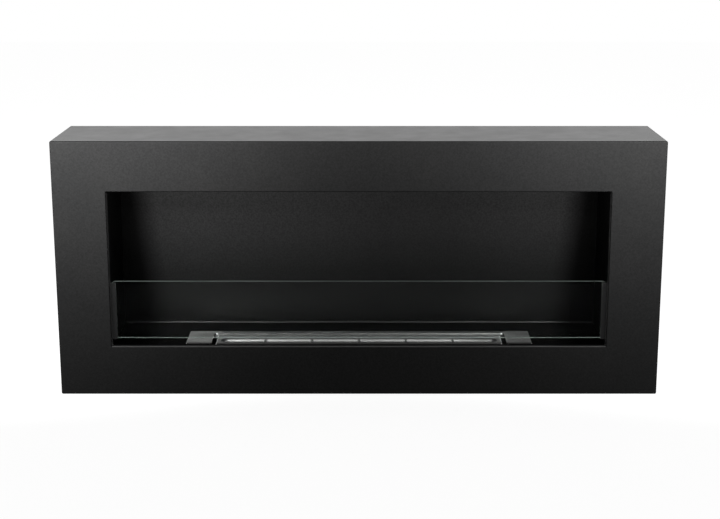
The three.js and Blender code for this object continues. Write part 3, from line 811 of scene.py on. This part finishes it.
def join_body(piece, body, slot, material, *nodes):
    """Fixes a finished piece to its body, in place of its CAD nodes."""
    dress(piece, material)
    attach(piece, body)
    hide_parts(*nodes)
    return piece


# ---------------------------------------------------------------------------------------------
# Casing
# ---------------------------------------------------------------------------------------------
def opening_box():
    """The casing's opening, seen from the front."""
    left, low, right, high = face_box("front_casing")
    return (left + SIDE_BORDER, low + BOTTOM_BORDER, right - SIDE_BORDER, high - TOP_BORDER)


def casing_rings(depth):
    """The casing's section, from the rear flange's edge to the end of the opening's flange, as rings."""
    low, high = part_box("front_casing")
    front, rear = low.y, high.y
    case, opening = face_box("front_casing"), opening_box()

    def outer(inset, y):
        radius = max(CASE_CORNER_RADIUS - inset, CASE_LEAST_RADIUS)
        return ring(grown(case, -inset), radius, along_y, y)

    def inner(outset, y):
        return ring(grown(opening, outset), OPENING_CORNER_RADIUS + outset, along_y, y)

    fold = CASE_FOLD_RADIUS
    rear_fold = arc((fold, rear - fold), fold - depth, 90, 180, FOLD_STEPS)
    front_fold = arc((fold, front + fold), fold - depth, 180, 270, FOLD_STEPS)
    reach = OPENING_FOLD_RADIUS
    opening_fold = arc((reach, front + reach), reach - depth, 270, 180, FOLD_STEPS)
    return (
        [outer(REAR_FLANGE_WIDTH, rear - depth)]
        + [outer(inset, y) for inset, y in rear_fold + front_fold]
        + [inner(outset, y) for outset, y in opening_fold]
        + [inner(depth, front + OPENING_FLANGE)]
    )


def screw_centre(number):
    low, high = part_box(f"rear_screw_{number}")
    return Vector(((low.x + high.x) / 2, high.y, (low.z + high.z) / 2))


SCREW_NUMBERS = range(1, 1 + sum(name.startswith("rear_screw_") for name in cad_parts))


def make_casing(material):
    casing = skin("casing", casing_rings(0) + casing_rings(CASE_SHEET)[::-1], True)
    holes = []
    for number in SCREW_NUMBERS:
        centre = screw_centre(number)
        outline = circle((centre.x, centre.z), SCREW_HOLE_RADIUS, HOLE_POINTS)
        start, end = centre.y - SCREW_HOLE_REACH, centre.y + CUTTER_MARGIN
        holes.append(prism("hole", outline, along_y, start, end))
    combine(casing, holes, "DIFFERENCE")
    flatten_normals(casing)
    join_body(casing, "fireplace", "case_paint", material, "front_casing")


def recess_arm(across, along):
    """One arm of a screw's cross recess, narrower at its foot."""
    outline = rounded((-across, -along, across, along), SCREW_RECESS_CORNER, SCREW_RECESS_STEPS)
    levels = ((1, CUTTER_MARGIN), (1, 0), (SCREW_RECESS_FOOT, -SCREW_RECESS_DEPTH))
    rings = [[(x * share, y, z * share) for x, z in outline] for share, y in levels]
    return skin("recess", rings, False)


def screw_mesh():
    """A countersunk screw along -Y from its head, with a cross recess."""
    low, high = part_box("rear_screw_1")
    length = high.y - low.y
    profile = [
        (SCREW_HEAD_RADIUS - SCREW_EDGE_WIDTH, 0),
        (SCREW_HEAD_RADIUS, -SCREW_EDGE_DEPTH),
        (SCREW_SHANK_RADIUS, -SCREW_HEAD_DEPTH),
        (SCREW_SHANK_RADIUS, SCREW_TIP_LENGTH - length),
        (SCREW_SHANK_RADIUS / 2, -length),
    ]
    rings = [[(x, y, z) for x, z in circle((0, 0), radius, SCREW_POINTS)] for radius, y in profile]
    screw = skin("screw", rings, False)
    reach, width = SCREW_RECESS_REACH, SCREW_RECESS_HALF_WIDTH
    combine(screw, [recess_arm(reach, width), recess_arm(width, reach)], "DIFFERENCE")
    return screw


def make_screws(material):
    pattern = screw_mesh()
    for number in SCREW_NUMBERS:
        screw = bpy.data.objects.new(f"panel_screw_{number}", pattern.data.copy())
        bpy.context.scene.collection.objects.link(screw)
        turn = Matrix.Rotation(random.uniform(0, math.pi), 4, "Y")
        screw.data.transform(Matrix.Translation(screw_centre(number)) @ turn)
        join_body(screw, "fireplace", "screw_steel", material, f"rear_screw_{number}")
    bpy.data.objects.remove(pattern)


# ---------------------------------------------------------------------------------------------
# Firebox
# ---------------------------------------------------------------------------------------------
def make_firebox(material):
    """Floor, back wall and ceiling folded from one sheet, with the burner's cut-out."""
    low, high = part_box("firebox_shell")
    sheet = FIREBOX_SHEET
    path = [
        (low.y, low.z + sheet),
        (high.y - sheet, low.z + sheet),
        (high.y - sheet, high.z - sheet),
        (low.y, high.z - sheet),
    ]
    section = folded_section(path, sheet, FIREBOX_FOLD_RADIUS)
    shell = prism("firebox", section, along_x, low.x, high.x)
    outline = rounded(floor_cutout(), CUTOUT_CORNER_RADIUS)
    cutout = prism("cutout", outline, along_z, low.z - CUTTER_MARGIN, low.z + CUTOUT_CUTTER_TOP)
    combine(shell, [cutout], "DIFFERENCE")
    flatten_normals(shell)
    join_body(shell, "fireplace", "firebox_paint", material, "firebox_shell")


def floor_cutout():
    """The hole in the floor. The surround laps its ends and its rear, and its front edge is free."""
    left, front, right, rear = plan_box("burner_surround")
    reach = END_PLATE_LENGTH - CUTOUT_END_LAP
    lap = BURNER_SHEET + LIP_FOLD_RADIUS + CUTOUT_REAR_PLAY
    return (left + reach, front - CUTOUT_FRONT_GAP, right - reach, rear - REAR_STRIP_WIDTH + lap)


# ---------------------------------------------------------------------------------------------
# Glass
# ---------------------------------------------------------------------------------------------
def make_glass(material):
    """The pane, with rounded corners and eased edges."""
    low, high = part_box("glass_pane")
    box = face_box("glass_pane")
    edge = GLASS_EDGE_RADIUS
    front = arc((edge, low.y + edge), edge, 270, 180, EDGE_STEPS)
    back = arc((edge, high.y - edge), edge, 180, 90, EDGE_STEPS)
    rings = [
        ring(grown(box, -inset), GLASS_CORNER_RADIUS - inset, along_y, y) for inset, y in front + back]
    pane = skin("glass", rings, False)
    flatten_normals(pane)
    join_body(pane, "glass", "pane_glass", material, "glass_pane")


# ---------------------------------------------------------------------------------------------
# Burner
# ---------------------------------------------------------------------------------------------
def make_surround(material):
    """Two end plates and a rear strip in one sheet, with a lip folded down along the strip."""
    left, front, right, rear = plan_box("burner_surround")
    low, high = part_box("burner_surround")
    inner_left, inner_right = left + END_PLATE_LENGTH, right - END_PLATE_LENGTH
    strip_front = rear - REAR_STRIP_WIDTH
    notch_rear = strip_front + LIP_FOLD_RADIUS + BURNER_SHEET
    plate = prism(
        "surround", rounded((left, front, right, rear), PLATE_CORNER_RADIUS), along_z,
        high.z - BURNER_SHEET, high.z)
    notch_box = (inner_left, front - NOTCH_REACH, inner_right, notch_rear)
    notch = prism(
        "notch", rounded(notch_box, PLATE_CORNER_RADIUS / 2), along_z,
        low.z - CUTTER_MARGIN, high.z + CUTTER_MARGIN)
    combine(plate, [notch], "DIFFERENCE")
    lip_path = [(strip_front, low.z), (strip_front, high.z), (rear - LIP_REAR_GAP, high.z)]
    lip = prism(
        "lip", folded_section(lip_path, BURNER_SHEET, LIP_FOLD_RADIUS), along_x,
        inner_left + LIP_END_GAP, inner_right - LIP_END_GAP)
    combine(plate, [lip], "UNION")
    flatten_normals(plate)
    join_body(plate, "fireplace", "burner_steel", material, "burner_surround")


def slot_box():
    """The flame slot, seen from above."""
    left, front, right, _ = plan_box("burner_cover")
    middle = front + SLOT_SETBACK
    return (
        left + SLOT_END_MARGIN, middle - SLOT_WIDTH / 2, right - SLOT_END_MARGIN, middle + SLOT_WIDTH / 2)


def cover_rings(depth):
    """The cover's skin from the foot of its skirt to the foot of the slot's rim, as rings."""
    low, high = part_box("burner_cover")
    cover, slot = plan_box("burner_cover"), slot_box()

    def outer(inset, z):
        return ring(grown(cover, -inset), COVER_CORNER_RADIUS - inset, along_z, z, SLOT_STEPS)

    def inner(outset, z):
        return ring(grown(slot, outset), SLOT_WIDTH / 2 + outset, along_z, z, SLOT_STEPS)

    bend, roll = COVER_FOLD_RADIUS, SLOT_ROLL_RADIUS
    edge = arc((bend, high.z - bend), bend - depth, 180, 90, FOLD_STEPS)
    rim = arc((roll, high.z - roll), roll - depth, 90, 180, ROLL_STEPS)
    return (
        [outer(depth, low.z)]
        + [outer(inset, z) for inset, z in edge]
        + [inner(outset, z) for outset, z in rim]
        + [inner(depth, high.z - SLOT_COLLAR)]
    )


def make_cover(material):
    cover = skin("burner_top", cover_rings(0) + cover_rings(BURNER_SHEET)[::-1], True)
    flatten_normals(cover)
    join_body(cover, "burner", "burner_steel", material, "burner_cover")


def make_tank(material):
    """The open tank under the cover."""
    low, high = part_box("fuel_tank")
    box = plan_box("fuel_tank")
    bend = TANK_FOLD_RADIUS

    def wall(inset, z):
        radius = max(TANK_CORNER_RADIUS - inset, BURNER_SHEET)
        return ring(grown(box, -inset), radius, along_z, z)

    def rings(depth):
        fold = arc((bend, low.z + bend), bend - depth, 270, 180, FOLD_STEPS)
        return [wall(inset, z) for inset, z in fold + [(depth, high.z)]]

    tank = skin("fuel_pan", rings(0) + rings(BURNER_SHEET)[::-1], False)
    flatten_normals(tank)
    join_body(tank, "burner", "burner_steel", material, "fuel_tank")


def make_wick(material):
    """The fibre block, slightly uneven all over, inside its CAD outline."""
    low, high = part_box("ceramic_wick")
    box = plan_box("ceramic_wick")
    edge = WICK_EDGE_RADIUS
    foot = arc((edge, low.z + edge), edge, 270, 180, WICK_EDGE_STEPS)
    crown = arc((edge, high.z - edge), edge, 180, 90, WICK_EDGE_STEPS)
    rings = [ring(grown(box, -inset), WICK_CORNER_RADIUS, along_z, z) for inset, z in foot + crown]
    wick = skin("fibre_block", rings, False)
    remesh = wick.modifiers.new("cells", "REMESH")
    remesh.mode = "VOXEL"
    remesh.voxel_size = WICK_CELL
    apply_modifiers(wick)
    middle_y, middle_z = (low.y + high.y) / 2, (low.z + high.z) / 2
    for vertex in wick.data.vertices:
        inward = (Vector((vertex.co.x, middle_y, middle_z)) - vertex.co).normalized()
        vertex.co += inward * WICK_ROUGHNESS * (1 + random.random())
    wick.data.shade_smooth()
    join_body(wick, "burner", "fibre", material, "ceramic_wick")


# ---------------------------------------------------------------------------------------------
# CAD nodes that keep their own mesh
# ---------------------------------------------------------------------------------------------
def dress_nodes(materials):
    for name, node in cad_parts.items():
        for prefix, material in materials.items():
            if name.startswith(prefix):
                dress(node, material)


# ---------------------------------------------------------------------------------------------
# Camera, lamps and studio
# ---------------------------------------------------------------------------------------------
FLOOR_SIZE = 12.0
FLOOR_SHADE = 0.85
FLOOR_GLOW = 0.9
FLOOR_BOUNCE = 0.15
FLOOR_ROUGHNESS = 0.9
AMBIENT = 0.1
FRONT_LAMP_PLACE = Vector((0.473, -0.584, 0.575))
FRONT_LAMP_TARGET = Vector((0.555, -0.08, 0.597))
FRONT_LAMP_WIDTH = 0.587
FRONT_LAMP_HEIGHT = 0.19
FRONT_LAMP_SPREAD = math.radians(116)
LEFT_LAMP_POWER = 6.3
RIGHT_LAMP_POWER = 4.7


def make_camera():
    data = bpy.data.cameras.new("camera")
    data.sensor_width = SENSOR_WIDTH
    data.lens = FOCAL_LENGTH_PIXELS * SENSOR_WIDTH / IMAGE_WIDTH
    data.shift_x = ((IMAGE_WIDTH - 1) / 2 - OPTICAL_AXIS_COLUMN) / IMAGE_WIDTH
    camera = bpy.data.objects.new("camera", data)
    camera.location = CAMERA_PLACE
    camera.rotation_euler = (math.pi / 2 - CAMERA_PITCH_DOWN, 0, 0)
    bpy.context.scene.collection.objects.link(camera)
    bpy.context.scene.camera = camera


def make_lamp(name, place, target, power):
    data = bpy.data.lights.new(name, "AREA")
    data.shape = "RECTANGLE"
    data.spread = FRONT_LAMP_SPREAD
    data.size, data.size_y = FRONT_LAMP_WIDTH, FRONT_LAMP_HEIGHT
    data.energy = power
    lamp = bpy.data.objects.new(name, data)
    lamp.location = place
    lamp.rotation_euler = (target - place).to_track_quat("-Z", "Y").to_euler()
    lamp.visible_camera = False
    bpy.context.scene.collection.objects.link(lamp)


def make_lamps():
    """Two soft lamps in front, above the top of the casing."""
    for name, side, power in (("left_lamp", -1, LEFT_LAMP_POWER), ("right_lamp", 1, RIGHT_LAMP_POWER)):
        mirror = Vector((side, 1, 1))
        make_lamp(name, FRONT_LAMP_PLACE * mirror, FRONT_LAMP_TARGET * mirror, power)


def seen_rays(nodes, links):
    """1 for rays that show the background: from the camera, by gloss and through glass."""
    path = nodes.new("ShaderNodeLightPath")
    total = path.outputs["Is Camera Ray"]
    for name in ("Is Glossy Ray", "Is Transmission Ray"):
        adder = nodes.new("ShaderNodeMath")
        adder.operation = "MAXIMUM"
        links.new(total, adder.inputs[0])
        links.new(path.outputs[name], adder.inputs[1])
        total = adder.outputs[0]
    return total


def make_world():
    """White where it is seen, and an even dim light where it lights the object."""
    world = bpy.data.worlds.new("studio")
    world.use_nodes = True
    bpy.context.scene.world = world
    nodes, links = world.node_tree.nodes, world.node_tree.links
    background = nodes["Background"]
    background.inputs["Color"].default_value = WHITE
    strength = nodes.new("ShaderNodeMapRange")
    strength.inputs["To Min"].default_value = AMBIENT
    links.new(seen_rays(nodes, links), strength.inputs["Value"])
    links.new(strength.outputs[0], background.inputs["Strength"])


def make_floor():
    """A pale floor that reads as white where it is lit and keeps the object's shadow."""
    half = FLOOR_SIZE / 2
    corners = [(-half, -half, 0), (half, -half, 0), (half, half, 0), (-half, half, 0)]
    mesh = bpy.data.meshes.new("floor")
    mesh.from_pydata(corners, [], [(0, 1, 2, 3)])
    floor = bpy.data.objects.new("floor", mesh)
    bpy.context.scene.collection.objects.link(floor)
    finish = Finish("floor", Roughness=FLOOR_ROUGHNESS, Specular_IOR_Level=0.0, Emission_Color=WHITE)
    seen = seen_rays(finish.tree.nodes, finish.tree.links)
    colour = finish.blend(seen, grey(FLOOR_BOUNCE), grey(FLOOR_SHADE))
    finish.done(Base_Color=colour, Emission_Strength=finish.between(seen, 0, FLOOR_GLOW, *UNIT_SPAN))
    dress(floor, finish.material)


# ---------------------------------------------------------------------------------------------
# Scene
# ---------------------------------------------------------------------------------------------
def make_studio():
    make_camera()
    bpy.context.scene.view_settings.view_transform = "Standard"
    make_lamps()
    make_world()
    make_floor()


def make_fireplace():
    case_paint = case_powder("case_paint")
    firebox_paint = firebox_powder("firebox_paint")
    burner_steel = cover_steel("burner_steel")
    plate_steel = surround_steel("plate_steel")
    panel_steel = galvanised("panel_steel")
    screw_steel = screw_zinc("screw_steel")

    make_casing(case_paint)
    make_screws(screw_steel)
    make_firebox(firebox_paint)
    make_glass(clear_glass("pane_glass"))
    make_surround(plate_steel)
    make_cover(burner_steel)
    make_tank(burner_steel)
    make_wick(fibre("fibre"))
    dress_nodes({
        "firebox_side": firebox_paint,
        "glass_channel": case_paint,
        "rear_panel": panel_steel,
        "hanger_plate": panel_steel,
        "tank_strap": panel_steel,
        "slot_bridge": burner_steel,
    })


random.seed(SEED)
make_studio()
make_fireplace()
